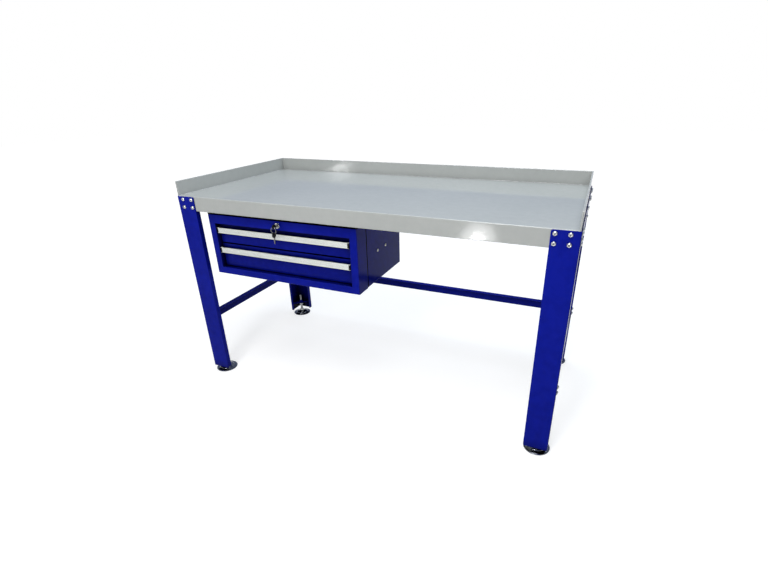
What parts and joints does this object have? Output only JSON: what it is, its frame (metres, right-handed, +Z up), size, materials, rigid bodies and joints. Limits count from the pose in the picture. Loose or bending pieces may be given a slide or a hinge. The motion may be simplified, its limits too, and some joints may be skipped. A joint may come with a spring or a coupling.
{
  "type": "workshop bench",
  "caption": "Steel workshop bench with a raised rim on three sides, folded legs on levelling feet, stretchers, and a lockable hung cabinet with slide-out drawers.",
  "frame": {"origin": "on the floor under the middle of the bench", "axes": "+X to the right along the bench, +Y from the front to the back, +Z up"},
  "size_m": [1.515, 0.721, 0.865],
  "materials": {
    "anodised_aluminium": "satin anodised extrusion with fine lengthwise grain",
    "black_plastic": "matt moulded plastic",
    "blue_paint": "smooth semi-gloss powder coat, ultramarine blue",
    "foot_chrome": "chromed pressed steel",
    "galvanised_sheet": "galvanised sheet",
    "grey_paint": "smooth semi-gloss powder coat, light grey",
    "key_plastic": "matt moulded key bow",
    "key_steel": "nickel-plated key blank",
    "lock_chrome": "bright plated",
    "slide_steel": "zinc-plated rolled steel",
    "zinc_plated_steel": "bright zinc plate"
  },
  "bodies": {
    "bench": {"cabinet_back_panel": "blue_paint", "cabinet_bolts": "zinc_plated_steel", "cabinet_carcass": "blue_paint", "cabinet_front_frame": "blue_paint", "cabinet_hangers": "blue_paint", "cabinet_nuts": "zinc_plated_steel", "end_rail_left": "blue_paint", "end_rail_right": "blue_paint", "foot_brackets": "blue_paint", "foot_lock_nuts": "zinc_plated_steel", "frame_bolts": "zinc_plated_steel", "frame_nuts": "zinc_plated_steel", "leg_front_left": "blue_paint", "leg_front_right": "blue_paint", "leg_rear_left": "blue_paint", "leg_rear_right": "blue_paint", "lock_housing": "lock_chrome", "lock_nut": "zinc_plated_steel", "lower_slide_outers": "slide_steel", "slide_carrier_left": "blue_paint", "slide_carrier_right": "blue_paint", "stiffener_channels": "grey_paint", "stretcher_left": "blue_paint", "stretcher_rear": "blue_paint", "stretcher_right": "blue_paint", "upper_slide_outers": "slide_steel", "worktop_tray": "grey_paint"},
    "upper_drawer": {"upper_drawer_box": "galvanised_sheet", "upper_drawer_front": "blue_paint", "upper_drawer_handle": "anodised_aluminium", "upper_front_screws": "zinc_plated_steel", "upper_handle_caps": "black_plastic", "upper_handle_rivets": "zinc_plated_steel", "upper_slide_inners": "slide_steel"},
    "upper_slide_middles": {"upper_slide_middles": "slide_steel"},
    "lower_drawer": {"lower_drawer_box": "galvanised_sheet", "lower_drawer_front": "blue_paint", "lower_drawer_handle": "anodised_aluminium", "lower_front_screws": "zinc_plated_steel", "lower_handle_caps": "black_plastic", "lower_handle_rivets": "zinc_plated_steel", "lower_slide_inners": "slide_steel"},
    "lower_slide_middles": {"lower_slide_middles": "slide_steel"},
    "lock": {"lock_plug": "lock_chrome", "lock_cam": "zinc_plated_steel", "cam_screw": "zinc_plated_steel"},
    "key": {"key_bow": "key_plastic", "key_blade": "key_steel"},
    "ring": {"key_ring": "lock_chrome"},
    "spare_key": {"spare_key_bow": "key_plastic", "spare_key_blade": "key_steel"},
    "foot_front_left": {"foot_pad_front_left": "foot_chrome", "foot_stem_front_left": "zinc_plated_steel"},
    "foot_front_right": {"foot_pad_front_right": "foot_chrome", "foot_stem_front_right": "zinc_plated_steel"},
    "foot_rear_left": {"foot_pad_rear_left": "foot_chrome", "foot_stem_rear_left": "zinc_plated_steel"},
    "foot_rear_right": {"foot_pad_rear_right": "foot_chrome", "foot_stem_rear_right": "zinc_plated_steel"}
  },
  "joints": [
    {"name": "upper_drawer_slide", "type": "slide", "parent": "bench", "child": "upper_drawer", "axis": [0, -1, 0], "range_m": [0, 0.3]},
    {"name": "upper_middles_slide", "type": "slide", "parent": "bench", "child": "upper_slide_middles", "axis": [0, -1, 0], "range_m": [0, 0.15]},
    {"name": "lower_drawer_slide", "type": "slide", "parent": "bench", "child": "lower_drawer", "axis": [0, -1, 0], "range_m": [0, 0.3]},
    {"name": "lower_middles_slide", "type": "slide", "parent": "bench", "child": "lower_slide_middles", "axis": [0, -1, 0], "range_m": [0, 0.15]},
    {"name": "lock_turn", "type": "hinge", "parent": "bench", "child": "lock", "pos_m": [-0.302, -0.325, 0.722], "axis": [0, 1, 0], "range_deg": [0, 90]},
    {"name": "key_withdraw", "type": "slide", "parent": "lock", "child": "key", "axis": [0, -1, 0], "range_m": [0, 0.3]},
    {"name": "ring_swing", "type": "hinge", "parent": "key", "child": "ring", "pos_m": [-0.302, -0.3487, 0.7211], "axis": [1, 0, 0], "range_deg": [-45, 8]},
    {"name": "spare_key_swing", "type": "hinge", "parent": "ring", "child": "spare_key", "pos_m": [-0.302, -0.3487, 0.6991], "axis": [1, 0, 0], "range_deg": [-25, 8]},
    {"name": "foot_front_left_screw", "type": "slide", "parent": "bench", "child": "foot_front_left", "axis": [0, 0, 1], "range_m": [-0.02, 0.008]},
    {"name": "foot_front_right_screw", "type": "slide", "parent": "bench", "child": "foot_front_right", "axis": [0, 0, 1], "range_m": [-0.02, 0.008]},
    {"name": "foot_rear_left_screw", "type": "slide", "parent": "bench", "child": "foot_rear_left", "axis": [0, 0, 1], "range_m": [-0.02, 0.008]},
    {"name": "foot_rear_right_screw", "type": "slide", "parent": "bench", "child": "foot_rear_right", "axis": [0, 0, 1], "range_m": [-0.02, 0.008]}
  ],
  "couplings": [
    {"joint": "upper_middles_slide", "follows": "upper_drawer_slide", "ratio": 0.5},
    {"joint": "lower_middles_slide", "follows": "lower_drawer_slide", "ratio": 0.5},
    {"joint": "key_withdraw", "follows": "upper_drawer_slide", "ratio": 1}
  ]
}
